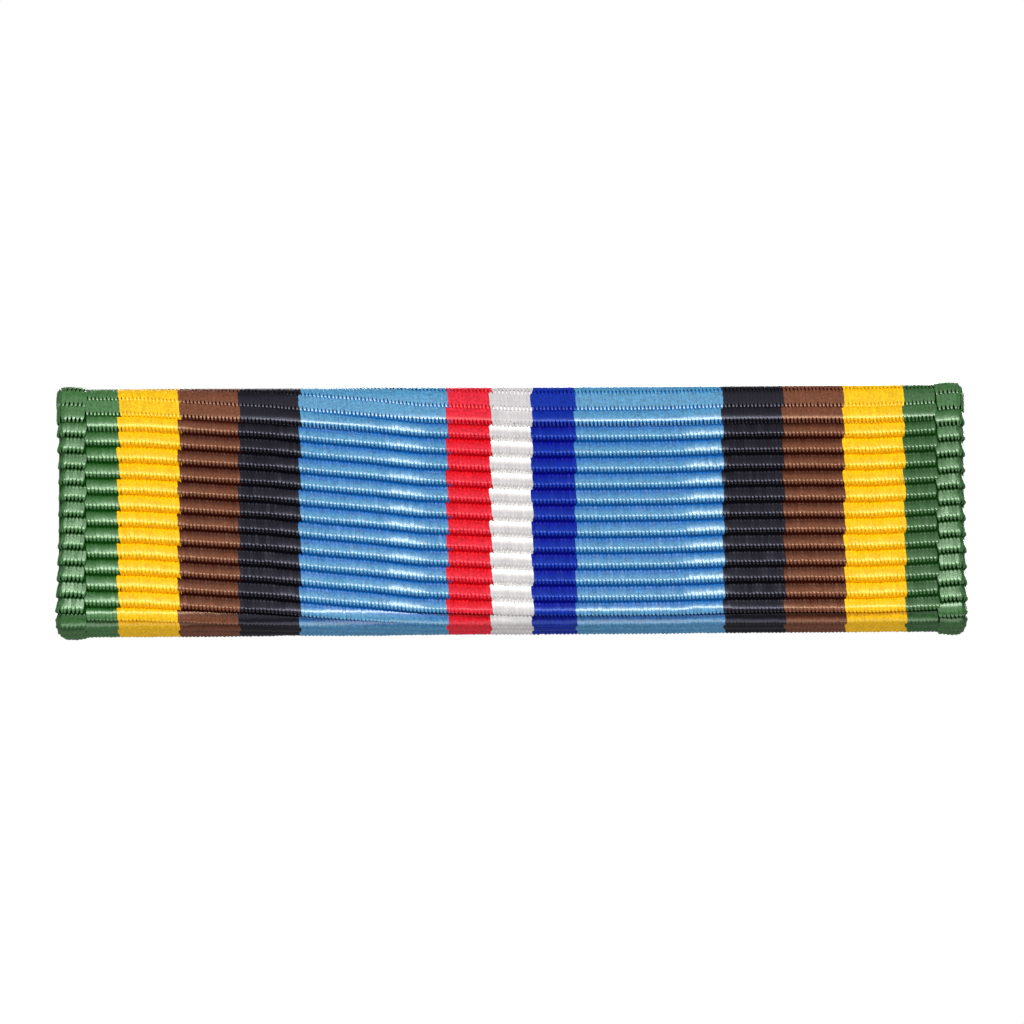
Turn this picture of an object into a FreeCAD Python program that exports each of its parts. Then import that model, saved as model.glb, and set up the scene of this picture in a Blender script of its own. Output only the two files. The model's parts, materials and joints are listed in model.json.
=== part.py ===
import FreeCAD, Part
import math
import os
import Sketcher

# A service ribbon bar: striped ribbon wrapped on a slide-on metal channel, a mounting bar
# with two posts inside it, and a spring clutch on each post.
# +X runs along the ribbon, +Z is up and the ribbon's face looks along -Y.
# The origin is the centre of the mounting bar's back face, which rests on the garment.

DRIVING_SIZES = {
    # ribbon
    "centre_stripe_width": 1.63,
    "light_blue_width": 5.675,
    "outer_stripe_width": 2.3356,
    "selvedge_width": 1.06,
    "selvedge_swell": 0.12,
    "ribbon_height": 9.6,
    "fabric_thickness": 0.35,
    "tail_length": 1.35,
    "lap_setback": 0.15,
    # slide-on channel and its inner tray
    "channel_sheet": 0.3,
    "channel_bend": 0.8,
    "channel_end_gap": 0.3,
    "lip_length": 2.0,
    "lip_round": 0.1,
    "tray_sheet": 0.25,
    # mounting bar
    "bar_sheet": 0.6,
    "bar_end_gap": 0.3,
    "track_clearance": 0.07,
    "slot_clearance": 0.1,
    # posts
    "post_spacing": 20.0,
    "post_radius": 0.55,
    "post_length": 8.0,
    "point_length": 1.3,
    "point_radius": 0.12,
    "groove_depth": 0.12,
    "head_radius": 1.1,
    "head_thickness": 0.25,
    # clutches
    "garment_gap": 2.1,
    "pin_clearance": 0.07,
    "base_radius": 3.5,
    "base_sheet": 0.3,
    "rim_height": 0.6,
    "cap_radius": 2.9,
    "cap_sheet": 0.3,
    "jaw_sheet": 0.3,
    "layer_gap": 0.05,
    "jaw_rise": 0.15,
    "jaw_grip": 0.03,
    "jaw_travel": 0.5,
    "wing_width": 3.2,
    "wing_reach": 5.6,
    "wing_bend": 1.6,
    "tab_height": 4.3,
    "tab_round": 1.0,
    "neck_width": 1.8,
    "neck_clearance": 0.12,
    "ear_reach": 1.3,
    "ear_width": 0.35,
    "spring_wire": 0.3,
    "spring_opening": 50.0,
}

doc = FreeCAD.newDocument("RibbonBar")
sheet = doc.addObject("Spreadsheet::Sheet", "Sizes")
for row, (alias, value) in enumerate(DRIVING_SIZES.items(), start=1):
    sheet.set(f"A{row}", alias)
    sheet.set(f"B{row}", str(value))
    sheet.setAlias(f"B{row}", alias)
doc.recompute()


def size(alias):
    """The expression that reads one driving size."""
    return f"Sizes.{alias}"


def total(*terms):
    return "(" + " + ".join(terms) + ")"


def less(first, *rest):
    return "(" + " - ".join((first,) + rest) + ")"


def minus(term):
    return f"(-1 * {term})"


def half(term):
    return f"({term} / 2)"


# Depths (Y) through the stack, from the garment face forwards
LAP_BACK = minus(size("lap_setback"))
LIP_BACK = less(LAP_BACK, size("fabric_thickness"))
LIP_FRONT = less(LIP_BACK, size("channel_sheet"))
TAIL_FRONT = less(LIP_FRONT, size("fabric_thickness"))
FLANGE_FRONT = less(TAIL_FRONT, size("tray_sheet"))
BAR_BACK = less(FLANGE_FRONT, size("track_clearance"))
BAR_FRONT = less(BAR_BACK, size("bar_sheet"))
TRAY_BACK = less(BAR_FRONT, size("track_clearance"))
WEB_BACK = less(TRAY_BACK, size("tray_sheet"))
WEB_FRONT = less(WEB_BACK, size("channel_sheet"))
FACE = less(WEB_FRONT, size("fabric_thickness"))

# Heights (Z) above the middle
RIBBON_TOP = half(size("ribbon_height"))
CHANNEL_TOP = less(RIBBON_TOP, size("fabric_thickness"))
CHANNEL_INSIDE = less(CHANNEL_TOP, size("channel_sheet"))
TRAY_INSIDE = less(CHANNEL_INSIDE, size("tray_sheet"))
LIP_END = less(CHANNEL_TOP, size("lip_length"))
SLOT_EDGE = less(LIP_END, size("fabric_thickness"))
TAIL_END = total(SLOT_EDGE, size("tail_length"))
BAR_TOP = less(TRAY_INSIDE, size("track_clearance"))
PLATEAU_TOP = less(SLOT_EDGE, size("slot_clearance"))

# Bend radii that follow from the channel's own bend
LAP_ROUND = total(size("lip_round"), size("fabric_thickness"))
FABRIC_BEND = total(size("channel_bend"), size("fabric_thickness"))
CHANNEL_INNER_BEND = less(size("channel_bend"), size("channel_sheet"))
TRAY_INNER_BEND = less(CHANNEL_INNER_BEND, size("tray_sheet"))
BAR_ROUND = less(TRAY_INNER_BEND, size("track_clearance"))

# Lengths (X)
RIBBON_WIDTH = total(
    f"3 * {size('centre_stripe_width')}",
    f"2 * {size('light_blue_width')}",
    f"8 * {size('outer_stripe_width')}",
)
CHANNEL_LENGTH = less(RIBBON_WIDTH, f"2 * {size('channel_end_gap')}")
BAR_LENGTH = less(CHANNEL_LENGTH, f"2 * {size('bar_end_gap')}")

# Heights (Y) through a clutch, from the garment face backwards
BASE_FRONT = size("garment_gap")
BASE_BACK = total(BASE_FRONT, size("base_sheet"))
RIM_TOP = total(BASE_FRONT, size("rim_height"))
LOWER_JAW = total(RIM_TOP, size("jaw_rise"))
UPPER_JAW = total(LOWER_JAW, size("jaw_sheet"), size("layer_gap"))
JAWS_TOP = total(UPPER_JAW, size("jaw_sheet"))
SPRING_MIDDLE = total(JAWS_TOP, f"2 * {size('layer_gap')}", half(size("spring_wire")))
EAR_TOP = total(SPRING_MIDDLE, half(size("spring_wire")), size("layer_gap"))
CAP_INSIDE = total(EAR_TOP, f"2 * {size('layer_gap')}")
CAP_TOP = total(CAP_INSIDE, size("cap_sheet"))
TAB_TOP = total(LOWER_JAW, size("tab_height"))
PIN_HOLE = total(size("post_radius"), size("pin_clearance"))
RIM_ROUND = f"(0.45 * {size('base_sheet')})"  # just under half the sheet, so the rim's edge is full

CUT_OVERRUN = "1"  # how far a cutting sketch runs past the metal


def new_body(label):
    body = doc.addObject("PartDesign::Body", label)
    body.Label = label
    return body


def new_sketch(body, plane, name, offset=None):
    sketch = body.newObject("Sketcher::SketchObject", name)
    origin_plane = next(o for o in body.Origin.OriginFeatures if o.Role == plane)
    sketch.AttachmentSupport = [(origin_plane, "")]
    sketch.MapMode = "FlatFace"
    if offset:
        sketch.setExpression("AttachmentOffset.Base.z", offset)
    return sketch


def bind(sketch, *constraint, formula):
    """Adds a dimension to a sketch and ties it to the driving sizes."""
    value = float(sheet.evalExpression(formula))
    index = sketch.addConstraint(Sketcher.Constraint(*constraint, value))
    sketch.setExpression(f"Constraints[{index}]", formula)


def add_square_outline(sketch, sides, starts_upright):
    """A closed outline of upright and level sides in turn.

    Each side is its formula and the formula of the round at its end, or None for a sharp corner.
    """
    count = len(sides)
    places = [float(sheet.evalExpression(place)) for place, _ in sides]
    rounds = [float(sheet.evalExpression(r)) if r else 0.0 for _, r in sides]
    upright = [(i % 2 == 0) == starts_upright for i in range(count)]
    corners = []
    for i in range(count):
        follower = places[(i + 1) % count]
        across, up = (places[i], follower) if upright[i] else (follower, places[i])
        corners.append(FreeCAD.Vector(across, up, 0))
    lines = []
    for i in range(count):
        start, end = corners[i - 1], corners[i]
        way = (end - start).normalize()
        first, last = start + way * rounds[i - 1], end - way * rounds[i]
        lines.append(sketch.addGeometry(Part.LineSegment(first, last)))
        sketch.addConstraint(Sketcher.Constraint("Vertical" if upright[i] else "Horizontal", lines[i]))
        axis = "DistanceX" if upright[i] else "DistanceY"
        bind(sketch, axis, -1, 1, lines[i], 1, formula=sides[i][0])
    for i in range(count):
        after = (i + 1) % count
        if not sides[i][1]:
            sketch.addConstraint(Sketcher.Constraint("Coincident", lines[i], 2, lines[after], 1))
            continue
        arriving = (corners[i] - corners[i - 1]).normalize()
        leaving = (corners[after] - corners[i]).normalize()
        centre = corners[i] - arriving * rounds[i] + leaving * rounds[i]
        middle = centre + (arriving - leaving) * rounds[i] / math.sqrt(2)
        arc = Part.Arc(corners[i] - arriving * rounds[i], middle, corners[i] + leaving * rounds[i])
        turn = sketch.addGeometry(arc)
        left_turn = arriving.cross(leaving).z > 0
        begin, finish = (1, 2) if left_turn else (2, 1)
        sketch.addConstraint(Sketcher.Constraint("Tangent", lines[i], 2, turn, begin))
        sketch.addConstraint(Sketcher.Constraint("Tangent", turn, finish, lines[after], 1))
        bind(sketch, "Radius", turn, formula=sides[i][1])


def add_corner_outline(sketch, corners):
    """A closed outline of straight sides, each corner tied across and up."""
    points = [FreeCAD.Vector(*(float(sheet.evalExpression(f)) for f in pair), 0) for pair in corners]
    lines = []
    for i, start in enumerate(points):
        lines.append(sketch.addGeometry(Part.LineSegment(start, points[(i + 1) % len(points)])))
    for i, (across, up) in enumerate(corners):
        sketch.addConstraint(Sketcher.Constraint("Coincident", lines[i - 1], 2, lines[i], 1))
        bind(sketch, "DistanceX", -1, 1, lines[i], 1, formula=across)
        bind(sketch, "DistanceY", -1, 1, lines[i], 1, formula=up)


def add_rectangle(sketch, low_across, high_across, low_up, high_up):
    sides = [(high_across, None), (high_up, None), (low_across, None), (low_up, None)]
    add_square_outline(sketch, sides, starts_upright=True)


def add_circle(sketch, across, up, radius):
    place = FreeCAD.Vector(float(sheet.evalExpression(across)), float(sheet.evalExpression(up)), 0)
    circle = Part.Circle(place, FreeCAD.Vector(0, 0, 1), float(sheet.evalExpression(radius)))
    index = sketch.addGeometry(circle)
    bind(sketch, "DistanceX", -1, 1, index, 3, formula=across)
    bind(sketch, "DistanceY", -1, 1, index, 3, formula=up)
    bind(sketch, "Radius", index, formula=radius)


def pad(body, sketch, length, name, centred=False):
    feature = body.newObject("PartDesign::Pad", name)
    feature.Profile = sketch
    feature.Midplane = centred
    feature.setExpression("Length", length)
    return feature


def pocket(body, sketch, depth, name, centred=False):
    feature = body.newObject("PartDesign::Pocket", name)
    feature.Profile = sketch
    feature.Midplane = centred
    feature.setExpression("Length", depth)
    return feature


def revolve(body, sketch, name, angle=None):
    feature = body.newObject("PartDesign::Revolution", name)
    feature.Profile = sketch
    feature.ReferenceAxis = (sketch, ["V_Axis"])
    feature.Midplane = True
    if angle:
        feature.setExpression("Angle", angle)
    else:
        feature.Angle = 360.0
    return feature


def wrapped_section(swell):
    """The ribbon's section in Y and Z: tail, lip, lap, face and the same back again."""
    lap_back = total(LAP_BACK, swell)
    face = less(FACE, swell)
    top = total(RIBBON_TOP, swell)
    bend = total(FABRIC_BEND, swell)
    lap_round = total(LAP_ROUND, swell)
    bottom = minus(top)
    return [
        (TAIL_FRONT, LAP_ROUND),
        (SLOT_EDGE, lap_round),
        (lap_back, bend),
        (top, bend),
        (face, bend),
        (bottom, bend),
        (lap_back, lap_round),
        (minus(SLOT_EDGE), LAP_ROUND),
        (TAIL_FRONT, None),
        (minus(TAIL_END), None),
        (LIP_FRONT, size("lip_round")),
        (minus(LIP_END), size("lip_round")),
        (LIP_BACK, size("channel_bend")),
        (minus(CHANNEL_TOP), size("channel_bend")),
        (WEB_FRONT, size("channel_bend")),
        (CHANNEL_TOP, size("channel_bend")),
        (LIP_BACK, size("lip_round")),
        (LIP_END, size("lip_round")),
        (LIP_FRONT, None),
        (TAIL_END, None),
    ]


def make_ribbon_band(label, start, width, swell="0"):
    body = new_body(label)
    sketch = new_sketch(body, "YZ_Plane", f"{label}_section")
    add_square_outline(sketch, wrapped_section(swell), starts_upright=True)
    pad(body, sketch, width, f"{label}_length")
    body.setExpression("Placement.Base.x", start)
    return body


def make_ribbon():
    """One woven ribbon, in bands of one warp colour each, from the white centre outwards."""
    centre = size("centre_stripe_width")
    light_blue = size("light_blue_width")
    outer = size("outer_stripe_width")
    selvedge = size("selvedge_width")
    bands = [make_ribbon_band("white_stripe", minus(half(centre)), centre)]
    outwards = [
        ({"left": "red_stripe", "right": "dark_blue_stripe"}, centre),
        ({"left": "light_blue_left", "right": "light_blue_right"}, light_blue),
        ({"left": "black_left", "right": "black_right"}, outer),
        ({"left": "brown_left", "right": "brown_right"}, outer),
        ({"left": "yellow_left", "right": "yellow_right"}, outer),
        ({"left": "green_left", "right": "green_right"}, less(outer, selvedge)),
    ]
    edge = half(centre)
    for names, width in outwards:
        far_edge = total(edge, width)
        bands.append(make_ribbon_band(names["left"], minus(far_edge), width))
        bands.append(make_ribbon_band(names["right"], edge, width))
        edge = far_edge
    swell = size("selvedge_swell")
    ribbon_end = total(edge, selvedge)
    bands.append(make_ribbon_band("selvedge_left", minus(ribbon_end), selvedge, swell))
    bands.append(make_ribbon_band("selvedge_right", edge, selvedge, swell))
    return bands


def open_channel(label, outer, inner, end, end_round, bends, length):
    """A folded sheet, open at the back: outer and inner are (back, front, top) of its faces."""
    back, front, top = outer
    lip_front, web_back, inside = inner
    outer_bend, inner_bend = bends
    body = new_body(label)
    sketch = new_sketch(body, "YZ_Plane", f"{label}_section")
    sides = [
        (lip_front, inner_bend),
        (inside, inner_bend),
        (web_back, inner_bend),
        (minus(inside), inner_bend),
        (lip_front, end_round),
        (minus(end), end_round),
        (back, outer_bend),
        (minus(top), outer_bend),
        (front, outer_bend),
        (top, outer_bend),
        (back, end_round),
        (end, end_round),
    ]
    add_square_outline(sketch, sides, starts_upright=True)
    pad(body, sketch, length, f"{label}_length", centred=True)
    return body


def make_channel():
    return open_channel(
        "ribbon_channel",
        outer=(LIP_BACK, WEB_FRONT, CHANNEL_TOP),
        inner=(LIP_FRONT, WEB_BACK, CHANNEL_INSIDE),
        end=LIP_END,
        end_round=size("lip_round"),
        bends=(size("channel_bend"), CHANNEL_INNER_BEND),
        length=CHANNEL_LENGTH,
    )


def make_tray():
    """The inner tray nips the ribbon's tails against the channel's lips and makes the bar's track."""
    return open_channel(
        "track_tray",
        outer=(TAIL_FRONT, WEB_BACK, CHANNEL_INSIDE),
        inner=(FLANGE_FRONT, TRAY_BACK, TRAY_INSIDE),
        end=LIP_END,
        end_round=None,
        bends=(CHANNEL_INNER_BEND, TRAY_INNER_BEND),
        length=CHANNEL_LENGTH,
    )


def make_mounting_bar():
    body = new_body("mounting_bar")
    section = new_sketch(body, "YZ_Plane", "bar_section")
    sides = [
        (BAR_FRONT, BAR_ROUND),
        (minus(BAR_TOP), BAR_ROUND),
        (BAR_BACK, None),
        (minus(PLATEAU_TOP), LAP_ROUND),
        ("0", LAP_ROUND),
        (PLATEAU_TOP, None),
        (BAR_BACK, BAR_ROUND),
        (BAR_TOP, BAR_ROUND),
    ]
    add_square_outline(section, sides, starts_upright=True)
    pad(body, section, BAR_LENGTH, "bar_length", centred=True)
    front_depth = minus(BAR_FRONT)
    holes = new_sketch(body, "XZ_Plane", "post_holes", offset=front_depth)
    seats = new_sketch(body, "XZ_Plane", "head_seats", offset=front_depth)
    for across in (minus(half(size("post_spacing"))), half(size("post_spacing"))):
        add_circle(holes, across, "0", size("post_radius"))
        add_circle(seats, across, "0", size("head_radius"))
    pocket(body, holes, total(front_depth, CUT_OVERRUN), "post_hole_cut")
    pocket(body, seats, size("head_thickness"), "head_seat_cut")
    return body


def make_post(side, sign):
    """A headed pin, staked through the bar, with a waist for the jaws and a blunt point."""
    label = f"{side}_post"
    body = new_body(label)
    profile = new_sketch(body, "XY_Plane", f"{label}_profile")
    shank = size("post_radius")
    waist = less(shank, size("groove_depth"))
    head_back = total(BAR_FRONT, size("head_thickness"))
    shoulder = less(size("post_length"), size("point_length"))
    waist_low = less(LOWER_JAW, size("groove_depth"))
    waist_high = total(JAWS_TOP, size("groove_depth"))
    corners = [
        ("0", BAR_FRONT),
        (size("head_radius"), BAR_FRONT),
        (size("head_radius"), head_back),
        (shank, head_back),
        (shank, waist_low),
        (waist, LOWER_JAW),
        (waist, JAWS_TOP),
        (shank, waist_high),
        (shank, shoulder),
        (size("point_radius"), size("post_length")),
        ("0", size("post_length")),
    ]
    add_corner_outline(profile, corners)
    revolve(body, profile, f"{label}_turned")
    body.setExpression("Placement.Base.x", f"{sign} * {half(size('post_spacing'))}")
    return body


def place_on_post(body, sign, turn=0.0):
    body.Placement.Rotation = FreeCAD.Rotation(FreeCAD.Vector(0, 1, 0), turn)
    body.setExpression("Placement.Base.x", f"{sign} * {half(size('post_spacing'))}")


def make_clutch_base(side, sign):
    """The pressed disc that bears on the garment, with its rim turned back."""
    body = new_body(f"{side}_clutch_base")
    profile = new_sketch(body, "XY_Plane", f"{side}_base_profile")
    rim_inside = less(size("base_radius"), size("base_sheet"))
    sides = [
        (size("base_radius"), RIM_ROUND),
        (RIM_TOP, RIM_ROUND),
        (rim_inside, RIM_ROUND),
        (BASE_BACK, None),
        (PIN_HOLE, None),
        (BASE_FRONT, size("base_sheet")),
    ]
    add_square_outline(profile, sides, starts_upright=True)
    revolve(body, profile, f"{side}_base_pressed")
    place_on_post(body, sign)
    return body


def make_clutch_cap(side, sign):
    """The cup crimped to the base, with a window each side for the wings."""
    body = new_body(f"{side}_clutch_cap")
    profile = new_sketch(body, "XY_Plane", f"{side}_cap_profile")
    inner_radius = less(size("cap_radius"), size("cap_sheet"))
    sides = [
        (size("cap_radius"), f"(2 * {size('cap_sheet')})"),
        (CAP_TOP, None),
        (PIN_HOLE, None),
        (CAP_INSIDE, size("cap_sheet")),
        (inner_radius, None),
        (BASE_BACK, None),
    ]
    add_square_outline(profile, sides, starts_upright=True)
    revolve(body, profile, f"{side}_cap_drawn")
    window = new_sketch(body, "YZ_Plane", f"{side}_cap_window")
    window_half = total(half(size("neck_width")), size("neck_clearance"))
    window_low = less(LOWER_JAW, f"2 * {size('layer_gap')}")
    window_high = total(JAWS_TOP, f"2 * {size('layer_gap')}")
    add_rectangle(window, window_low, window_high, minus(window_half), window_half)
    pocket(body, window, f"3 * {size('cap_radius')}", f"{side}_cap_window_cut", centred=True)
    place_on_post(body, sign)
    return body


def make_wing(side, sign, layer, underside, turn):
    """A jaw and its finger tab in one strip: ears, plate with the pin's eye, neck and tab."""
    label = f"{side}_clutch_{layer}_wing"
    body = new_body(label)
    sheet_size = size("jaw_sheet")
    topside = total(underside, sheet_size)
    ear_out = minus(size("ear_reach"))
    ear_in = total(ear_out, sheet_size)
    reach = size("wing_reach")
    strip = new_sketch(body, "XY_Plane", f"{label}_strip")
    sides = [
        (reach, None),
        (TAB_TOP, None),
        (less(reach, sheet_size), less(size("wing_bend"), sheet_size)),
        (topside, None),
        (ear_in, None),
        (EAR_TOP, None),
        (ear_out, None),
        (underside, size("wing_bend")),
    ]
    add_square_outline(strip, sides, starts_upright=True)
    pad(body, strip, size("wing_width"), f"{label}_width", centred=True)

    # the neck passes through the cap's window, its shoulders stay outside it when pinched
    edge = half(size("wing_width"))
    beyond = total(edge, CUT_OVERRUN)
    neck = half(size("neck_width"))
    neck_start = less(size("ear_reach"), size("jaw_travel"), size("neck_clearance"))
    shoulder = total(size("cap_radius"), size("jaw_travel"), size("neck_clearance"))
    necking = new_sketch(body, "XZ_Plane", f"{label}_neck", offset=minus(total(topside, CUT_OVERRUN)))
    add_rectangle(necking, neck_start, shoulder, neck, beyond)
    add_rectangle(necking, neck_start, shoulder, minus(beyond), minus(neck))

    # the eye rests against the post on its inner side and is open by the travel on the other
    eye = total(size("post_radius"), size("jaw_grip"))
    eye_end = total(size("jaw_travel"), size("jaw_grip"))
    add_slot(necking, eye_end, eye)
    neck_depth = total(CUT_OVERRUN, sheet_size, CUT_OVERRUN)
    neck_cut = pocket(body, necking, neck_depth, f"{label}_neck_cut")
    neck_cut.Reversed = True

    # two ears are left of the turned-up end
    ears = new_sketch(body, "YZ_Plane", f"{label}_ears")
    ear_foot = total(neck, size("neck_clearance"))
    ear_side = total(ear_foot, size("ear_width"))
    above = total(EAR_TOP, CUT_OVERRUN)
    add_rectangle(ears, topside, above, minus(ear_foot), ear_foot)
    add_rectangle(ears, topside, above, ear_side, beyond)
    add_rectangle(ears, topside, above, minus(beyond), minus(ear_side))
    ear_cut = pocket(body, ears, total(size("ear_reach"), CUT_OVERRUN), f"{label}_ear_cut")
    doc.recompute()
    tab_corners = body.newObject("PartDesign::Fillet", f"{label}_tab_round")
    tab_corners.Base = (ear_cut, corner_edges(ear_cut.Shape))
    tab_corners.setExpression("Radius", size("tab_round"))
    place_on_post(body, sign, turn)
    return body


def add_slot(sketch, length, radius):
    """An eye whose round ends are centred on the origin and at the given length along it."""
    far, wide = (float(sheet.evalExpression(f)) for f in (length, radius))
    up = FreeCAD.Vector(0, 0, 1)
    near_circle = Part.Circle(FreeCAD.Vector(0, 0, 0), up, wide)
    far_circle = Part.Circle(FreeCAD.Vector(far, 0, 0), up, wide)
    near_end = sketch.addGeometry(Part.ArcOfCircle(near_circle, math.pi / 2, 3 * math.pi / 2))
    far_end = sketch.addGeometry(Part.ArcOfCircle(far_circle, -math.pi / 2, math.pi / 2))
    low, high = FreeCAD.Vector(0, -wide, 0), FreeCAD.Vector(0, wide, 0)
    run = FreeCAD.Vector(far, 0, 0)
    bottom = sketch.addGeometry(Part.LineSegment(low, low + run))
    top = sketch.addGeometry(Part.LineSegment(high + run, high))
    for first, first_end, second, second_end in (
        (near_end, 2, bottom, 1),
        (bottom, 2, far_end, 1),
        (far_end, 2, top, 1),
        (top, 2, near_end, 1),
    ):
        sketch.addConstraint(Sketcher.Constraint("Tangent", first, first_end, second, second_end))
    sketch.addConstraint(Sketcher.Constraint("Coincident", near_end, 3, -1, 1))
    sketch.addConstraint(Sketcher.Constraint("PointOnObject", far_end, 3, -1))
    bind(sketch, "DistanceX", -1, 1, far_end, 3, formula=length)
    bind(sketch, "Radius", near_end, formula=radius)


def corner_edges(shape):
    """The short edges through the sheet at the tab's two free corners."""
    top = shape.BoundBox.YMax
    names = []
    for index, edge in enumerate(shape.Edges, start=1):
        box = edge.BoundBox
        through_sheet = box.YLength < 1e-6 and box.ZLength < 1e-6
        if through_sheet and abs(box.YMax - top) < 1e-6:
            names.append(f"Edge{index}")
    return names


def make_spring(side, sign):
    """An open ring of round wire that the ears spread when the wings are pinched."""
    body = new_body(f"{side}_clutch_spring")
    profile = new_sketch(body, "XY_Plane", f"{side}_spring_wire")
    ear_side = total(half(size("neck_width")), size("neck_clearance"), size("ear_width"))
    corner_reach = f"sqrt({size('ear_reach')} ^ 2 + {ear_side} ^ 2)"
    wire_middle = total(corner_reach, half(size("spring_wire")), half(size("layer_gap")))
    add_circle(profile, wire_middle, SPRING_MIDDLE, half(size("spring_wire")))
    revolve(body, profile, f"{side}_spring_ring", angle=f"360 - {size('spring_opening')}")
    place_on_post(body, sign, turn=90.0)
    return body


bodies = make_ribbon()
bodies += [make_channel(), make_tray(), make_mounting_bar()]
for side, sign in (("left", -1), ("right", 1)):
    bodies.append(make_post(side, sign))
    bodies.append(make_clutch_base(side, sign))
    bodies.append(make_clutch_cap(side, sign))
    bodies.append(make_wing(side, sign, "lower", LOWER_JAW, turn=0.0))
    bodies.append(make_wing(side, sign, "upper", UPPER_JAW, turn=180.0))
    bodies.append(make_spring(side, sign))
doc.recompute()

for item in doc.Objects:
    if "Invalid" in item.State or "Error" in item.State:
        raise RuntimeError(f"{item.Label} failed: {item.State}")
for body in bodies:
    shape = body.Shape
    if shape.isNull() or not shape.isValid() or len(shape.Solids) != 1:
        raise RuntimeError(f"{body.Label} is not one valid solid")

os.makedirs("parts", exist_ok=True)
for body in bodies:
    body.Shape.exportStep(f"parts/{body.Label}.step")
    box = body.Shape.BoundBox
    print(
        f"{body.Label:26s} {body.Shape.Volume:8.3f} mm3",
        f"x {box.XMin:.2f}..{box.XMax:.2f}  y {box.YMin:.2f}..{box.YMax:.2f}  z {box.ZMin:.2f}..{box.ZMax:.2f}",
    )
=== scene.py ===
import json
import math

import bpy
import numpy as np
from mathutils import Matrix, Vector


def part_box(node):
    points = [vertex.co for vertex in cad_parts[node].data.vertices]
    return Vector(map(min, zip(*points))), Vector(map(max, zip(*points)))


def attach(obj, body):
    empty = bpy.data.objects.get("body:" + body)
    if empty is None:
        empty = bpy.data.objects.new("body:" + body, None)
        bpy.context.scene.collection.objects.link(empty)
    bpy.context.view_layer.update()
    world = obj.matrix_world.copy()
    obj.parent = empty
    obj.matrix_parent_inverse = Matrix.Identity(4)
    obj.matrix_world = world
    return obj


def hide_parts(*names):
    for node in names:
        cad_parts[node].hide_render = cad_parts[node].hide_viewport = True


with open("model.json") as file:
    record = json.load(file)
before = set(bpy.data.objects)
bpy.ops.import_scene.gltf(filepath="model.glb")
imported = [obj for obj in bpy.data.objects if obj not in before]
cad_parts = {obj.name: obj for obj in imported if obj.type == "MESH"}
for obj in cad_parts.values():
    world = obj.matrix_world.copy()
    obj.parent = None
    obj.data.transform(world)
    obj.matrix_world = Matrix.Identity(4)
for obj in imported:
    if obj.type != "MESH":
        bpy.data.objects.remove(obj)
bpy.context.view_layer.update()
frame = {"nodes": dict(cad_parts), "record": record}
mm = 0.001
print("frame loaded:", len(frame["nodes"]), "nodes")


# ---- small helpers

def corners(node):
    low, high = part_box(node)
    return np.array(low) / mm, np.array(high) / mm


def smooth(low, high, value):
    share = np.clip((value - low) / (high - low), 0.0, 1.0)
    return share * share * (3 - 2 * share)


def linearColour(hexText):
    channels = [int(hexText[i:i + 2], 16) / 255 for i in (1, 3, 5)]
    return [c / 12.92 if c <= 0.04045 else ((c + 0.055) / 1.055) ** 2.4 for c in channels] + [1.0]


def addNode(tree, kind, inputs=None, **settings):
    node = tree.nodes.new(kind)
    for name, value in settings.items():
        setattr(node, name, value)
    for socket, value in (inputs or {}).items():
        if isinstance(value, bpy.types.NodeSocket):
            tree.links.new(value, node.inputs[socket])
        else:
            node.inputs[socket].default_value = value
    return node


def newMaterial(name, **surface):
    material = bpy.data.materials.new(name)
    material.use_nodes = True
    shader = material.node_tree.nodes["Principled BSDF"]
    for socket, value in surface.items():
        shader.inputs[socket.replace("_", " ")].default_value = value
    return material, material.node_tree, shader


def newObject(name, points, faces, material, shades=None, uv=None):
    mesh = bpy.data.meshes.new(name)
    mesh.from_pydata((np.asarray(points) * mm).tolist(), [], faces)
    mesh.validate()
    mesh.materials.append(material)
    mesh.shade_smooth()
    for label, values in (shades or {}).items():
        layer = mesh.attributes.new(label, "FLOAT", "POINT")
        layer.data.foreach_set("value", np.asarray(values, np.float32))
    if uv is not None:
        corner = np.empty(len(mesh.loops), np.int32)
        mesh.loops.foreach_get("vertex_index", corner)
        layer = mesh.uv_layers.new(name="OFBake")
        layer.data.foreach_set("uv", np.asarray(uv, np.float32)[corner].ravel())
    made = bpy.data.objects.new(name, mesh)
    bpy.context.scene.collection.objects.link(made)
    return made


# ---- the ribbon's path round the channel, seen from its end

bandLow, bandHigh = corners("white_stripe")
channelLow = corners("ribbon_channel")[0]
trayHigh = corners("track_tray")[1]

ribbonPath = {
    "clothThickness": channelLow[1] - bandLow[1],
    "topFold": 0.45,  # mm, the fold over the top front edge is the tighter one
    "leanFrom": 1.75,  # mm below the top edge, where the cloth starts to lean back
    "leanFull": 1.2,
    "leanSlope": 0.30,
    "bottomFold": 0.62,
    "rearFold": 1.15,
    "lapFold": 0.45,
    "slotEdge": 2.10,  # mm, half the slot that the mounting bar's back shows through
    "tailEnd": 3.40,
    "crown": 0.05,  # mm, the front face is very slightly bowed
}


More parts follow.
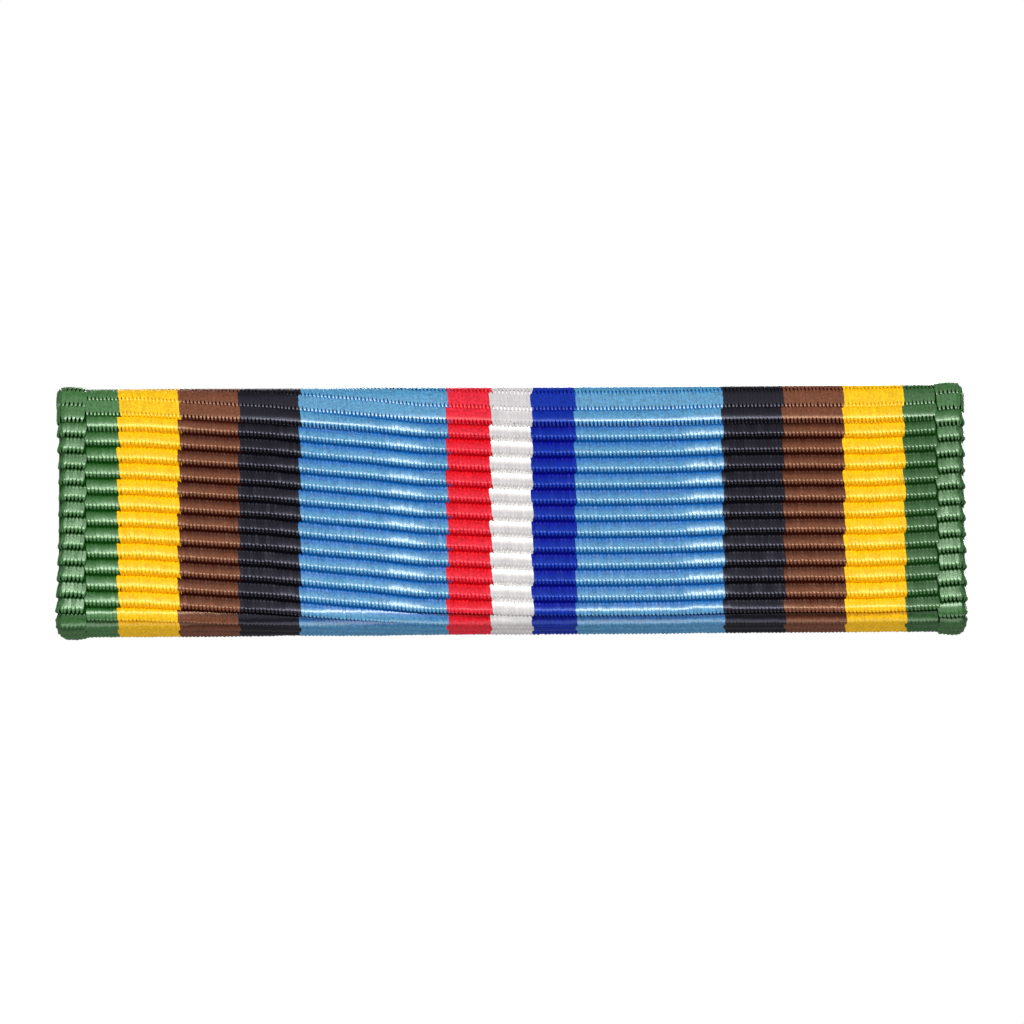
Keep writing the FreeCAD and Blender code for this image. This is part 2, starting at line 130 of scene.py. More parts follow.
def foldedPath(path):
    # right-angled corners of the wrapped cloth's outside, each with the radius it is folded to
    front, back = bandLow[1], bandHigh[1]
    top = bandHigh[2]
    inner = trayHigh[1]
    tail, slot = path["tailEnd"], path["slotEdge"]
    stops = [
        ((inner, tail), 0), ((inner, slot), path["lapFold"]), ((back, slot), path["lapFold"]),
        ((back, top), path["rearFold"]), ((front, top), path["topFold"]),
        ((front, -top), path["bottomFold"]), ((back, -top), path["rearFold"]),
        ((back, -slot), path["lapFold"]), ((inner, -slot), path["lapFold"]), ((inner, -tail), 0),
    ]
    line = [np.array(stops[0][0], float)]
    for index in range(1, len(stops) - 1):
        corner, radius = np.array(stops[index][0], float), stops[index][1]
        arriving = corner - np.array(stops[index - 1][0])
        leaving = np.array(stops[index + 1][0]) - corner
        arriving, leaving = arriving / np.linalg.norm(arriving), leaving / np.linalg.norm(leaving)
        centre = corner - arriving * radius + leaving * radius
        for angle in np.linspace(0, math.pi / 2, 25):
            line.append(centre - leaving * radius * math.cos(angle) + arriving * radius * math.sin(angle))
    line.append(np.array(stops[-1][0], float))
    line = np.array(line)
    steps = np.linalg.norm(np.diff(line, axis=0), axis=1)
    along = np.concatenate([[0], np.cumsum(steps)])
    fine = np.linspace(0, along[-1], 1600)
    points = np.stack([np.interp(fine, along, line[:, i]) for i in (0, 1)], axis=1)
    onFace = points[:, 0] < front + 0.3
    points[:, 0] -= np.where(onFace, path["crown"] * np.clip(1 - (points[:, 1] / top) ** 2, 0, 1), 0)
    below = top - points[:, 1]
    ramp = path["leanFrom"] - path["leanFull"]
    inRamp = np.clip(path["leanFrom"] - below, 0, ramp)
    beyond = np.clip(path["leanFull"] - below, 0, None)
    lean = path["leanSlope"] * (inRamp ** 2 / (2 * ramp) + beyond)
    points[:, 0] += lean * smooth((front + back) / 2 + 0.4, front + 0.6, points[:, 0])
    tangent = np.gradient(points, axis=0)
    tangent /= np.linalg.norm(tangent, axis=1)[:, None]
    kernel = np.hanning(25) / np.hanning(25).sum()  # eases each fold into its neighbours
    for i in (0, 1):
        padded = np.pad(tangent[:, i], 12, mode="edge")
        tangent[:, i] = np.convolve(padded, kernel, "valid")
    tangent /= np.linalg.norm(tangent, axis=1)[:, None]
    outward = np.stack([tangent[:, 1], -tangent[:, 0]], axis=1)
    return fine, points, outward


pathAlong, pathPoints, pathOutward = foldedPath(ribbonPath)
pathLength = pathAlong[-1]
faceMiddle = pathLength / 2


def onPath(along):
    place = np.stack([np.interp(along, pathAlong, pathPoints[:, i]) for i in (0, 1)], axis=-1)
    out = np.stack([np.interp(along, pathAlong, pathOutward[:, i]) for i in (0, 1)], axis=-1)
    return place, out / np.linalg.norm(out, axis=-1, keepdims=True)


# ---- the weave: weft cords make the ribs, warp floats cover them

weave = {
    "ribPitch": 0.6375,  # mm between ribs
    "yarnSpacing": 0.0728,  # mm, every second yarn is on top of a rib
    "ribHeight": 0.170,
    # (share of the pitch, share of the height) of a tight float: a ramp up to a crest low on the rib
    "tightShape": [(0, 0), (0.05, 0.15), (0.10, 0.24), (0.20, 0.38), (0.30, 0.52), (0.40, 0.66),
                   (0.50, 0.79), (0.58, 0.88), (0.64, 0.92), (0.70, 0.95), (0.76, 0.98), (0.82, 1.0),
                   (0.87, 0.98), (0.91, 0.85), (0.95, 0.52), (1, 0)],
    # a slack float lies flatter, so its shine is wider
    "slackShape": [(0, 0), (0.05, 0.20), (0.10, 0.33), (0.20, 0.50), (0.30, 0.64), (0.40, 0.76),
                   (0.48, 0.84), (0.56, 0.88), (0.64, 0.915), (0.70, 0.945), (0.76, 0.98), (0.82, 1.0),
                   (0.87, 0.98), (0.91, 0.85), (0.95, 0.52), (1, 0)],
    # (middle, half width, amount) in mm across the ribbon: where the warp runs slack
    "slackRuns": [(-14.55, 1.95, 0.80), (-8.55, 0.50, 0.40), (-5.2, 1.3, 0.30), (-4.02, 0.75, 0.85),
                  (7.50, 0.85, 1.0), (14.0, 1.0, 0.75)],
    "topFlatten": 0.95,  # share of the rib height lost where the cloth is pulled over the top fold
    "bottomFlatten": 0.0,
    "yarnCrown": 0.0015,
    "toothCrown": 0.034,
    # (mm across, mm down): the ribs run downhill from the left edge, then level off
    "sagLine": [(-17.4, 0.22), (-15.8, 0.27), (-14.3, 0.29), (-11.6, 0.48), (-9.3, 0.63), (-7.3, 0.84),
                (-5.4, 1.02), (-3.5, 1.25), (-1.5, 1.34), (0.5, 1.44), (3.5, 1.46), (6.0, 1.45),
                (8.5, 1.37), (11.5, 1.36), (13.8, 1.39), (15.6, 1.31), (17.4, 1.22)],
    "overlap": 1.18,  # half width of a float in yarn spacings: neighbours on a rib just overlap
    "endTaper": 0.62,  # share of its width that a float loses where it dives
    "slackCrownLoss": 0.4,
    "leastDive": 0.3,
    "diveDepth": 0.5,
    "yarnDepth": 0.07,
    "heightSpread": 0.004,  # mm, how much the floats differ
    "tiltSpread": 0.010,
    "slantSpread": 0.012,
    "endGap": 0.05,
    "fineBeyond": 2.2,  # mm past the face that still gets the finest floats
    "tailHidden": 1.6,
    "backNarrower": 0.06,
    "twistSlant": 0.050,  # mm a float leans across one rib, from the twist of its yarn
    "toneOf": {"woven_green_left": 1.0, "woven_light_blue_left": 0.5, "woven_green_right": -6.5,
               "woven_selvedge_right": -2.5},  # some bands are set a little lighter or darker than the rest, the right green much darker
    "seed": 7,
}
ribCount = int(pathLength / weave["ribPitch"])
random = np.random.default_rng(weave["seed"])


def sag(x, along):
    halfFace = bandHigh[2]
    away = np.abs(along - faceMiddle)
    return np.interp(x, *zip(*weave["sagLine"])) * (1 - smooth(halfFace, halfFace + 7.5, away))


def groove(index, x, offset=0.0):
    # grooves are counted from the middle of the face, so both tails end alike
    plain = faceMiddle + (index - ribCount / 2 + offset) * weave["ribPitch"]
    return plain + sag(x, plain)


def slackness(x):
    total = 0.0
    for middle, halfWidth, amount in weave["slackRuns"]:
        total += amount * (1 - smooth(0.55, 1.25, abs(x - middle) / halfWidth))
    return min(1.0, float(total))


def floatProfile(t, height, slack=0.0):
    inside = np.clip(t, 0, 1)
    tight = np.interp(inside, *zip(*weave["tightShape"]))
    loose = np.interp(inside, *zip(*weave["slackShape"]))
    return height * (tight * (1 - slack) + loose * slack)


def flattening(along):
    # the path starts at the upper tail, so the top fold comes before the middle of the face
    fromMiddle = along - faceMiddle
    half = bandHigh[2]
    top = weave["topFlatten"] * smooth(half - 2.0, half - 1.1, -fromMiddle)
    top = top * (1 - smooth(half + 2.0, half + 3.2, -fromMiddle))
    bottom = weave["bottomFlatten"] * smooth(half - 0.9, half - 0.1, fromMiddle)
    return 1 - top - bottom


# shares along a float and across its half width where it gets points, coarser where little shows
detailStations = {
    "face": np.array([-0.10, 0.0, 0.05, 0.12, 0.25, 0.42, 0.56, 0.65, 0.73, 0.80, 0.86, 0.91, 0.95,
                      1.0, 1.08]),
    "back": np.array([-0.08, 0.0, 0.16, 0.42, 0.68, 0.88, 1.0, 1.08]),
    "tail": np.array([0.0, 0.3, 0.7, 1.0]),
}
crossSections = {
    "face": np.array([-1.0, -0.88, 0.0, 0.88, 1.0]),
    "back": np.array([-1.0, -0.85, 0.85, 1.0]),
    "tail": np.array([-1.0, 0.0, 1.0]),
}


def detailAt(along):
    away = abs(along - faceMiddle)
    if away < bandHigh[2] + weave["fineBeyond"]:
        return "face"
    return "back" if away < pathLength / 2 - weave["tailHidden"] else "tail"


class Weaver:
    # gathers one band's floats before they become a mesh
    def __init__(self):
        self.points, self.faces = [], []
        self.shade, self.depth, self.uv = [], [], []
        self.count = 0

    def addFloat(self, column, rib, offset, tone, cell):
        x = column["x"]
        first, last = groove(rib, x, offset), groove(rib + 1, x, offset)
        span = last - first
        if first < weave["endGap"] or last > pathLength - weave["endGap"]:
            return
        middle = (first + last) / 2
        detail = detailAt(middle)
        t, u = detailStations[detail], crossSections[detail]
        along = np.clip(first + t * span, 0, pathLength)
        place, out = onPath(along)
        flat = flattening(middle)
        ribHeight = weave["ribHeight"] * flat
        lift = floatProfile(t, ribHeight * column["height"], column["slack"])
        ends = np.maximum(smooth(0.16, -0.06, t), smooth(0.68, 0.98, t))
        width = column["width"] * (1 - weave["endTaper"] * ends)
        crownFrom = 0.50 - 0.20 * column["slack"]  # a slack float stands proud over more of its length
        crown = weave["yarnCrown"] + (weave["toothCrown"] - weave["yarnCrown"]) * np.maximum(
            smooth(crownFrom, 0.74, t), smooth(0.12, 0.0, t))
        crown = crown * flat * (1 - weave["slackCrownLoss"] * column["slack"])
        dive = (np.where(t < 0, t, 0) + np.where(t > 1, 1 - t, 0)) * max(flat, weave["leastDive"])
        depth = 0.0 if detail == "tail" else ribHeight * column["height"]
        jitter = random.normal(0, weave["heightSpread"])
        jitter = jitter + random.normal(0, weave["tiltSpread"]) * (t - 0.75)
        level = lift + dive * weave["diveDepth"] - depth + column["raise"] + jitter * flat
        slant = (weave["twistSlant"] + random.normal(0, weave["slantSpread"])) * column["slant"] * (t - 0.5)
        across = u[None, :] * width[:, None] + slant[:, None]
        raised = level[:, None] + crown[:, None] * (1 - u[None, :] ** 2)
        under = level - weave["yarnDepth"]
        acrossAll = np.concatenate([across, slant[:, None]], axis=1)
        levelAll = np.concatenate([raised, under[:, None]], axis=1)
        lean = column["lean"]
        # the selvedge flares at the folds and is a little narrower on the back
        away = abs(middle - faceMiddle)
        behind = smooth(5.5, 7.0, away)
        flare = smooth(0.5, 4.5, away) * (1 - behind) - 0.5
        waist = column["waist"] * flare - weave["backNarrower"] * column["outer"] * behind
        sideways = waist + acrossAll * math.cos(lean) + levelAll * math.sin(lean)
        upward = levelAll * math.cos(lean) - acrossAll * math.sin(lean) + column["sink"]
        xs = x + sideways
        ys = place[:, None, 0] + out[:, None, 0] * upward
        zs = place[:, None, 1] + out[:, None, 1] * upward
        rows, cols = xs.shape
        base = self.count
        self.points.append(np.stack([xs, ys, zs], axis=-1).reshape(-1, 3))
        self.count += rows * cols
        for row in range(rows - 1):
            here, there = base + row * cols, base + (row + 1) * cols
            for col in range(cols):
                after = (col + 1) % cols
                self.faces.append((here + col, there + col, there + after, here + after))
        self.faces.append(tuple(range(base, base + cols)))
        self.faces.append(tuple(reversed(range(base + (rows - 1) * cols, base + rows * cols))))
        self.shade.append(np.full(rows * cols, tone))
        # mask for the painted groove shade: grows where the float sinks from its crest towards the groove
        grooveShadeMask = (1 - np.clip(lift / (ribHeight * column["height"]), 0, 1)) * flat
        self.depth.append(np.repeat(grooveShadeMask, cols))
        low, size = cell
        uAll = np.concatenate([u * 0.46 + 0.5, [0.5]])
        cellU = low[0] + size[0] * np.broadcast_to(uAll, (rows, cols))
        tShare = (t - t[0]) / (t[-1] - t[0])
        cellV = low[1] + size[1] * np.broadcast_to(0.04 + 0.92 * tShare[:, None], (rows, cols))
        self.uv.append(np.stack([cellU, cellV], axis=-1).reshape(-1, 2))

    def make(self, name, material):
        shades = {"yarnShade": np.concatenate(self.shade), "yarnDepth": np.concatenate(self.depth)}
        return newObject(name, np.concatenate(self.points), self.faces, material, shades,
                         np.concatenate(self.uv))


def plainColumns(left, right):
    spacing = weave["yarnSpacing"]
    first = math.ceil((left - spacing * 0.5) / spacing)
    last = math.floor((right - spacing * 0.5) / spacing)
    for index in range(first, last + 1):
        x = (index + 0.5) * spacing
        yield {"x": x, "parity": index % 2, "width": spacing * weave["overlap"], "height": 1.0,
               "raise": 0.0, "slant": 1.0, "lean": 0.0, "sink": 0.0, "waist": 0.0, "outer": 0,
               "slack": slackness(x)}


selvedge = {
    "edgeRadius": 0.26,  # mm
    "turn": 125,  # degrees that the yarns go on round the outer edge
    "bow": 0.055,  # mm that the face swells
    "bowShare": 0.72,
    "tilt": 0.12,
    "edgeIn": 0.04,
    "edgeRaise": 0.042,
    "overlap": 1.2,
    "ribShare": 0.70,  # of the rib height in the rest of the ribbon
    "raise": 0.05,
    "slant": 0.8,
    "slack": 0.35,
    "flareLeft": -0.13,  # mm, the left edge is waisted between the folds, the right one hardly
    "flareRight": 0.03,
}


def selvedgeColumns(left, right, outer):
    # the selvedge is a narrow tube: its yarns follow a bowed face and turn round the outer edge
    spacing = weave["yarnSpacing"]
    inner = left if outer > 0 else right
    radius = selvedge["edgeRadius"]
    flat = (right - left) - radius
    arcSpan = math.radians(selvedge["turn"]) * radius
    total = flat + arcSpan
    flare = selvedge["flareRight"] if outer > 0 else selvedge["flareLeft"]
    count = int(total / spacing)
    for index in range(count):
        run = (index + 0.5) * total / count
        if run < flat:
            x = inner + outer * run
            bowAngle = math.pi * selvedge["bowShare"] * run / flat
            raised = selvedge["bow"] * math.sin(bowAngle)
            lean = outer * -selvedge["tilt"] * math.cos(bowAngle)
        else:
            turn = (run - flat) / radius
            x = inner + outer * (flat - selvedge["edgeIn"] + radius * math.sin(turn))
            raised = selvedge["edgeRaise"] - radius * (1 - math.cos(turn))
            lean = outer * turn
        yield {"x": x, "parity": index % 2, "width": spacing * selvedge["overlap"],
               "height": selvedge["ribShare"], "raise": selvedge["raise"],
               "slant": selvedge["slant"] * outer if run < flat else 0.0, "lean": lean,
               "sink": raised, "slack": selvedge["slack"], "outer": outer, "waist": flare * run / total}


def weaveBand(name, material, columns, offset=0.0):
    weaver = Weaver()
    columns = list(columns)
    nRib = ribCount + 6
    for order, column in enumerate(columns):
        yarnTone = random.normal(0, 0.35) + weave["toneOf"].get(name, 0.0)
        for rib in range(-3, nRib - 3):
            if (rib + column["parity"]) % 2:
                continue
            tone = yarnTone + random.normal(0, 0.65)
            half = order // 2
            cell = ((half / math.ceil(len(columns) / 2 + 0.5), (rib + 3) / nRib),
                    (1 / math.ceil(len(columns) / 2 + 0.5), 1 / nRib))
            weaver.addFloat(column, rib, offset, tone, cell)
    return weaver.make(name, material)


# ---- ribbon materials

stripes = {
    # sRGB of the dyed yarn, of the tone painted into the grooves between the ribs (painted shade, darker
    # than the yarn, except on yellow and white where it is painted light, lighter than the yarn) and of its
    # shine, then the shine's strength
    "ribbon_green": {"yarn": "#3B6838", "paintedGrooveTone": "#0E4808", "shineTint": "#D8F4D4", "shine": 0.95},
    "ribbon_yellow": {"yarn": "#ECB80C", "paintedGrooveTone": "#FFBE00", "shineTint": "#FFF2B0", "shine": 0.60,
                      "speckle": 0.20},
    "ribbon_brown": {"yarn": "#6A3D2B", "paintedGrooveTone": "#360702", "shineTint": "#FFD2AE", "shine": 0.60},
    "ribbon_black": {"yarn": "#100E16", "paintedGrooveTone": "#06040C", "shineTint": "#DCDCF4", "shine": 0.42},
    "ribbon_light_blue": {"yarn": "#468AB4", "paintedGrooveTone": "#0A62AE", "shineTint": "#F4FAFF", "shine": 1.0},
    "ribbon_red": {"yarn": "#DC2438", "paintedGrooveTone": "#D00014", "shineTint": "#FF9A9A", "shine": 0.60},
    "ribbon_white": {"yarn": "#C5C1C2", "paintedGrooveTone": "#FFFEFC", "shineTint": "#FFFFFF", "shine": 0.12,
                     "speckle": 0.08},
    "ribbon_dark_blue": {"yarn": "#042794", "paintedGrooveTone": "#010688", "shineTint": "#98B0FF", "shine": 0.48},
}


def wovenRayon(name, look):
    # rayon grosgrain: dyed filament yarn, a soft satin shine where each float turns down
    material, tree, shader = newMaterial(
        name, Roughness=0.29, Specular_IOR_Level=look["shine"] * 1.1, Sheen_Weight=0.0)
    shader.inputs["Specular Tint"].default_value = linearColour(look["shineTint"])
    yarnShade = addNode(tree, "ShaderNodeAttribute", attribute_name="yarnShade")
    place = addNode(tree, "ShaderNodeTexCoord")
    grainSize = 0.09  # mm, the fine speckle of crossing filaments
    grain = addNode(tree, "ShaderNodeTexNoise", {
        "Vector": place.outputs["Object"], "Scale": 1 / (grainSize * mm), "Detail": 2.0, "Roughness": 0.6})
    tone = addNode(tree, "ShaderNodeMath", {
        0: yarnShade.outputs["Fac"], 1: 0.045, 2: 1.0}, operation="MULTIPLY_ADD")
    spread = look.get("speckle", 0.36)
    speckle = addNode(tree, "ShaderNodeMapRange", {
        "Value": grain.outputs["Fac"], "From Min": 0.3, "From Max": 0.7, "To Min": 1 - spread,
        "To Max": 1 + spread})
    value = addNode(tree, "ShaderNodeMath", {
        0: tone.outputs[0], 1: speckle.outputs["Result"]}, operation="MULTIPLY")
    # painted groove shade: the yarn colour is mixed towards the groove tone where the float sinks between
    # the ribs (painted light on yellow and white)
    yarnDepth = addNode(tree, "ShaderNodeAttribute", attribute_name="yarnDepth")
    grooveShadeMask = addNode(tree, "ShaderNodeMapRange", {
        "Value": yarnDepth.outputs["Fac"], "From Min": 0.10, "From Max": 0.75},
        interpolation_type="SMOOTHSTEP")
    yarnWithGrooveShade = addNode(tree, "ShaderNodeMix", {
        "Factor": grooveShadeMask.outputs["Result"], 6: linearColour(look["yarn"]), 7: linearColour(look["paintedGrooveTone"])},
        data_type="RGBA")
    tinted = addNode(tree, "ShaderNodeHueSaturation", {
        "Color": yarnWithGrooveShade.outputs[2], "Value": value.outputs[0]})
    tree.links.new(tinted.outputs["Color"], shader.inputs["Base Color"])
    bump = addNode(tree, "ShaderNodeBump", {
        "Height": grain.outputs["Fac"], "Strength": 0.35, "Distance": 0.010 * mm})
    tree.links.new(bump.outputs["Normal"], shader.inputs["Normal"])
    return material


rayon = {slot: wovenRayon("rayon_" + slot.replace("ribbon_", ""), look) for slot, look in stripes.items()}
slotOf = {part["node"]: part["material_slot"] for part in frame["record"]["subparts"]}
bandNames = [n for n in slotOf if slotOf[n] in stripes]

for node in bandNames:
    low, high = corners(node)
    slot = slotOf[node]
    if node.startswith("selvedge"):
        outer = 1 if high[0] > 0 else -1
        band = weaveBand("woven_" + node, rayon[slot], selvedgeColumns(low[0], high[0], outer), offset=0.5)
    else:
        band = weaveBand("woven_" + node, rayon[slot], plainColumns(low[0], high[0]))
    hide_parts(node)
    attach(band, "ribbon_unit")


# ---- weft: one full-width sheet of cords under the floats

def weftSheet():
    ribbonLow, ribbonHigh = corners("selvedge_left")[0][0], corners("selvedge_right")[1][0]
    selvedgeFrom = corners("selvedge_right")[0][0]
    xs = np.concatenate([[ribbonLow + 0.05], np.linspace(-selvedgeFrom - 0.02, selvedgeFrom + 0.02, 110),
                         [ribbonHigh - 0.05]])
    perRib = 6
    rows = []
    for rib in range(ribCount):
        for step in range(perRib):
            rows.append(rib + step / perRib)
    rows.append(ribCount)
    outerPoints, innerPoints = [], []
    for row in rows:
        t = row - math.floor(row)
        along = np.array([np.clip(groove(row, x), 0.02, pathLength - 0.02) for x in xs])
        place, out = onPath(along)
        ribHeight = weave["ribHeight"] * flattening(along)
        plain = (float(floatProfile(np.array(t), 1.0)) - 1.0) * ribHeight - 0.05
        level = np.where(np.abs(xs) > selvedgeFrom, -weave["ribHeight"] * 0.6 - 0.08, plain)
        inner = -ribbonPath["clothThickness"] + 0.02
        outerPoints.append(np.stack([xs, place[:, 0] + out[:, 0] * level,
                                     place[:, 1] + out[:, 1] * level], -1))
        innerPoints.append(np.stack([xs, place[:, 0] + out[:, 0] * inner,
                                     place[:, 1] + out[:, 1] * inner], -1))
    count, wide = len(rows), len(xs)
    points = np.concatenate([np.concatenate(outerPoints), np.concatenate(innerPoints)])
    shift = count * wide
    faces = []
    for r in range(count - 1):
        for c in range(wide - 1):
            a, b = r * wide + c, (r + 1) * wide + c
            faces.append((a, b, b + 1, a + 1))
            faces.append((shift + a, shift + a + 1, shift + b + 1, shift + b))
    for r in range(count - 1):
        a, b = r * wide, (r + 1) * wide
        faces.append((a, shift + a, shift + b, b))
        a, b = a + wide - 1, b + wide - 1
        faces.append((a, b, shift + b, shift + a))
    for c in range(wide - 1):
        faces.append((c, c + 1, shift + c + 1, shift + c))
        a = (count - 1) * wide + c
        faces.append((a, shift + a, shift + a + 1, a + 1))
    return points, faces


def cottonWeft():
    # cotton weft cord, seen only between the floats: the stripes by position, each in its painted groove
    # tone, which is painted shade (painted light on yellow and white)
    material, tree, shader = newMaterial("cotton_weft", Roughness=0.9, Specular_IOR_Level=0.15)
    place = addNode(tree, "ShaderNodeTexCoord")
    across = addNode(tree, "ShaderNodeSeparateXYZ", {"Vector": place.outputs["Object"]})
    half = corners("selvedge_right")[1][0]
    share = addNode(tree, "ShaderNodeMapRange", {
        "Value": across.outputs["X"], "From Min": -half * mm, "From Max": half * mm})
    ramp = addNode(tree, "ShaderNodeValToRGB", {"Fac": share.outputs["Result"]})
    ramp.color_ramp.interpolation = "CONSTANT"
    ordered = sorted(bandNames, key=lambda n: corners(n)[0][0])
    for index, node in enumerate(ordered):
        at = (corners(node)[0][0] + half) / (2 * half)
        stop = ramp.color_ramp.elements[0] if index == 0 else ramp.color_ramp.elements.new(min(at, 1.0))
        stop.position = max(0.0, at)
        # painted groove shade carried onto the weft under each stripe
        stop.color = linearColour(stripes[slotOf[node]]["paintedGrooveTone"])
    ramp.color_ramp.elements.remove(ramp.color_ramp.elements[-1])
    tree.links.new(ramp.outputs["Color"], shader.inputs["Base Color"])
    return material


weftPoints, weftFaces = weftSheet()
weft = newObject("ribbon_weft", weftPoints, weftFaces, cottonWeft())
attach(weft, "ribbon_unit")
ribbonWide = (corners("selvedge_right")[1][0] - corners("selvedge_left")[0][0]) * mm
print("weft laid")


# ---- metal parts

def sheetMetal(name, colour, roughness, grainAcross):
    # plated or mill-finish sheet: fine rolling lines, a few faint handling marks
    material, tree, shader = newMaterial(name, Metallic=1.0, Roughness=roughness)
    place = addNode(tree, "ShaderNodeTexCoord")
    stretch = addNode(tree, "ShaderNodeMapping", {
        "Vector": place.outputs["Object"], "Scale": [1 / (s * mm) for s in grainAcross]})
    lines = addNode(tree, "ShaderNodeTexNoise", {
        "Vector": stretch.outputs["Vector"], "Scale": 1.0, "Detail": 3.0, "Roughness": 0.55})
    marks = addNode(tree, "ShaderNodeTexNoise", {
        "Vector": place.outputs["Object"], "Scale": 1 / (1.8 * mm), "Detail": 4.0})
    colourMix = addNode(tree, "ShaderNodeMapRange", {
        "Value": marks.outputs["Fac"], "From Min": 0.35, "From Max": 0.7, "To Min": 0.90, "To Max": 1.04})
    tinted = addNode(tree, "ShaderNodeHueSaturation", {
        "Color": linearColour(colour), "Value": colourMix.outputs["Result"]})
    tree.links.new(tinted.outputs["Color"], shader.inputs["Base Color"])
    worn = addNode(tree, "ShaderNodeMapRange", {
        "Value": lines.outputs["Fac"], "From Min": 0.3, "From Max": 0.7,
        "To Min": roughness * 0.75, "To Max": roughness * 1.35})
    tree.links.new(worn.outputs["Result"], shader.inputs["Roughness"])
    bump = addNode(tree, "ShaderNodeBump", {
        "Height": lines.outputs["Fac"], "Strength": 0.25, "Distance": 0.004 * mm})
    tree.links.new(bump.outputs["Normal"], shader.inputs["Normal"])
    return material


metals = {
    "channel_metal": sheetMetal("mill_aluminium", "#C8CACB", 0.34, (2.5, 0.05, 0.05)),
    "tray_metal": sheetMetal("mill_aluminium_tray", "#B9BBBC", 0.38, (2.5, 0.05, 0.05)),
    "bar_metal": sheetMetal("nickel_plate_bar", "#CFCDC6", 0.20, (3.0, 0.08, 0.08)),
    "post_metal": sheetMetal("nickel_plate_post", "#D2D0C9", 0.18, (0.2, 0.05, 0.2)),
    "clutch_brass": sheetMetal("pressed_brass", "#D9B25A", 0.22, (0.3, 0.1, 0.3)),
    "clutch_cap_brass": sheetMetal("drawn_brass", "#DCB661", 0.20, (0.3, 0.06, 0.3)),
    "wing_brass": sheetMetal("brass_strip", "#D2A94F", 0.24, (1.2, 0.06, 0.06)),
    "spring_steel": sheetMetal("spring_steel_wire", "#A3A5A8", 0.28, (0.1, 0.1, 0.1)),
}
for name, node in frame["nodes"].items():
    if slotOf[name] in metals:
        node.data.materials.clear()
        node.data.materials.append(metals[slotOf[name]])
print("metal finished")


# ---- floor, light and camera

studio = {
    "floorDepth": 0.30,  # m below the origin
    "floor": "#E9E7E2",
    "floorHalf": 2000.0,  # mm
    "floorSun": 2.55,
    "floorSunSpread": 40,  # degrees
    "keyFrom": (0.0, -0.24, 0.14),
    "keySize": (0.26, 0.035),
    "keyPower": 0.79,
    "fillFrom": (0.0, -0.34, -0.02),
    "fillSize": (0.30, 0.20),
    "fillPower": 0.19,
    "fillGlare": 0.1,  # soft light that hardly shines on the yarn
    "rearFrom": (0.12, 0.30, 0.20),
    "rearSize": (0.25, 0.20),
    "rearPower": 1.8,
    "rearGlare": 0.3,  # keeps its glare off the ribbon's top edge
    "bounceFrom": (0.0, -0.06, -0.20),
    "bounceSize": (0.30, 0.12),
    "bouncePower": 0.30,
    "skyLight": 0.19,
    "cameraBelow": 14.5,  # degrees
    "cameraAway": 0.50,  # m
    "aim": (0.02, -0.41),  # mm across and up, where the camera looks on the ribbon's face
    "frameWide": 39.39,  # mm across the picture at the ribbon's face
    "roll": 0.36,  # degrees
}


def areaLight(name, place, size, power, target=(0, 0, 0)):
    light = bpy.data.lights.new(name, "AREA")
    light.shape = "RECTANGLE"
    light.size, light.size_y = size
    light.energy = power
    lamp = bpy.data.objects.new(name, light)
    lamp.location = place
    lamp.rotation_euler = (Vector(target) - Vector(place)).to_track_quat("-Z", "Y").to_euler()
    lamp.visible_camera = False
    bpy.context.scene.collection.objects.link(lamp)
    return lamp


areaLight("key_light", studio["keyFrom"], studio["keySize"], studio["keyPower"])
fillLamp = areaLight("fill_light", studio["fillFrom"], studio["fillSize"], studio["fillPower"])
fillLamp.data.specular_factor = studio["fillGlare"]
areaLight("bounce_light", studio["bounceFrom"], studio["bounceSize"], studio["bouncePower"])
rearLamp = areaLight("rear_light", studio["rearFrom"], studio["rearSize"], studio["rearPower"])
rearLamp.data.specular_factor = studio["rearGlare"]

world = bpy.data.worlds.new("studio_sky")
world.use_nodes = True
sky = world.node_tree
seen = sky.nodes["Background"]
seen.inputs["Color"].default_value = (1, 1, 1, 1)
seen.inputs["Strength"].default_value = 1.0
lit = addNode(sky, "ShaderNodeBackground", {"Color": (1, 1, 1, 1), "Strength": studio["skyLight"]})
ray = addNode(sky, "ShaderNodeLightPath")
choose = addNode(sky, "ShaderNodeMixShader", {
    "Fac": ray.outputs["Is Camera Ray"], 1: lit.outputs[0], 2: seen.outputs[0]})
sky.links.new(choose.outputs[0], sky.nodes["World Output"].inputs["Surface"])
bpy.context.scene.world = world
bpy.context.scene.view_settings.view_transform = "Standard"

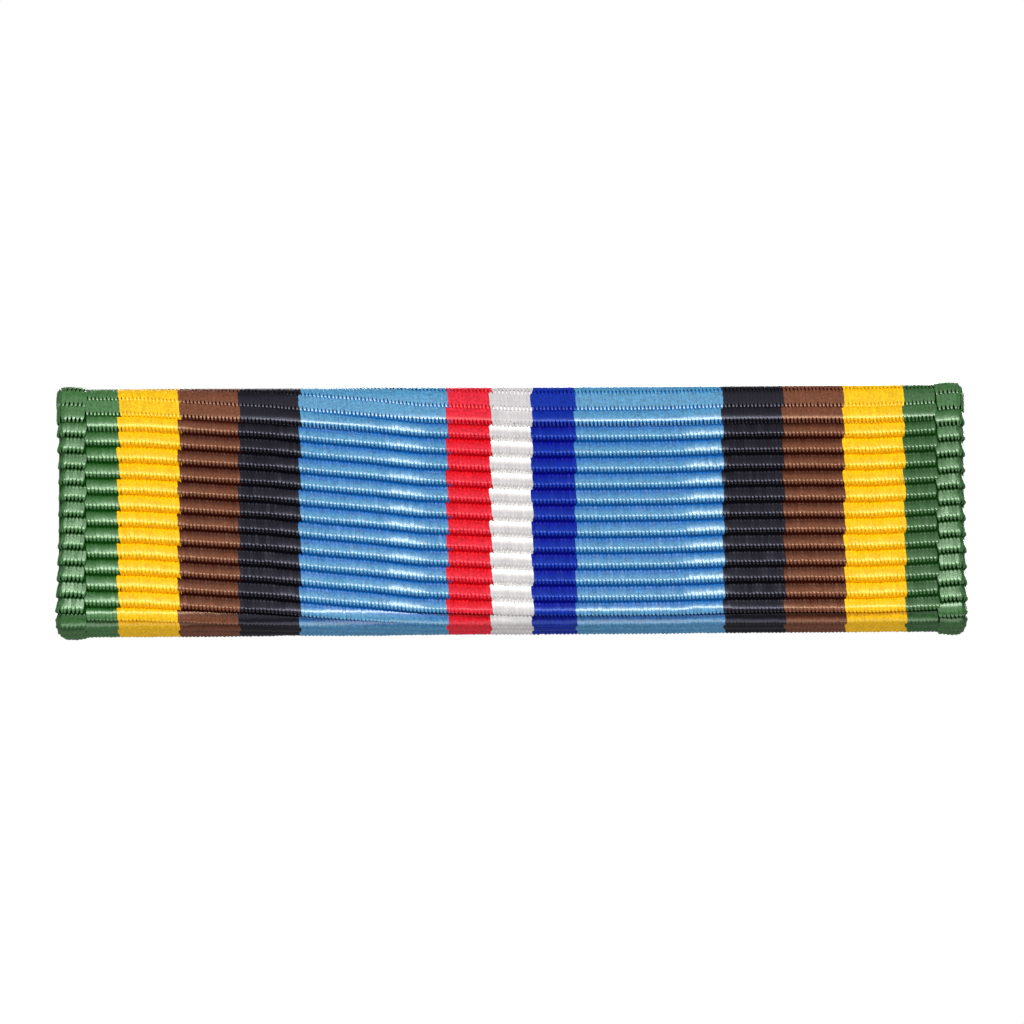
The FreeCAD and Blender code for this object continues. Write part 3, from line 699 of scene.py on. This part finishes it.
paint, paintTree, paintShader = newMaterial("matt_white_table", Roughness=0.8)
paintGrain = addNode(paintTree, "ShaderNodeTexNoise", {"Scale": 40.0, "Detail": 3.0})
paintTone = addNode(paintTree, "ShaderNodeHueSaturation", {"Color": linearColour(studio["floor"])})
paintLevel = addNode(paintTree, "ShaderNodeMapRange", {
    "Value": paintGrain.outputs["Fac"], "To Min": 0.98, "To Max": 1.02})
paintTree.links.new(paintLevel.outputs["Result"], paintTone.inputs["Value"])
paintTree.links.new(paintTone.outputs["Color"], paintShader.inputs["Base Color"])
floorHalf = studio["floorHalf"]
floorLevel = -studio["floorDepth"] / mm
floor = newObject("floor", [(-floorHalf, -floorHalf, floorLevel), (floorHalf, -floorHalf, floorLevel),
                            (floorHalf, floorHalf, floorLevel), (-floorHalf, floorHalf, floorLevel)],
                  [(0, 1, 2, 3)], paint)
floor.visible_diffuse = False  # a pale floor that neither fills nor shines into the ribs
floor.visible_glossy = False
floorSun = bpy.data.lights.new("floor_light", "SUN")
floorSun.energy = studio["floorSun"]
floorSun.angle = math.radians(studio["floorSunSpread"])
floorLamp = bpy.data.objects.new("floor_light", floorSun)
bpy.context.scene.collection.objects.link(floorLamp)
onlyFloor = bpy.data.collections.new("floor_receiver")
onlyFloor.objects.link(floor)
floorLamp.light_linking.receiver_collection = onlyFloor

below = math.radians(studio["cameraBelow"])
away = studio["cameraAway"]
aim = Vector((studio["aim"][0], bandLow[1], studio["aim"][1])) * mm
cameraData = bpy.data.cameras.new("studio_camera")
cameraData.sensor_width = 36.0
cameraData.lens = 36.0 * away / (studio["frameWide"] * mm)
cameraData.clip_start, cameraData.clip_end = 0.01, 10
camera = bpy.data.objects.new("studio_camera", cameraData)
camera.location = aim + Vector((0, -math.cos(below), -math.sin(below))) * away
look = (aim - camera.location).to_track_quat("-Z", "Y")
camera.rotation_mode = "QUATERNION"
camera.rotation_quaternion = look @ Matrix.Rotation(math.radians(-studio["roll"]), 4, "Z").to_quaternion()
bpy.context.scene.collection.objects.link(camera)
bpy.context.scene.camera = camera
print("stage set")
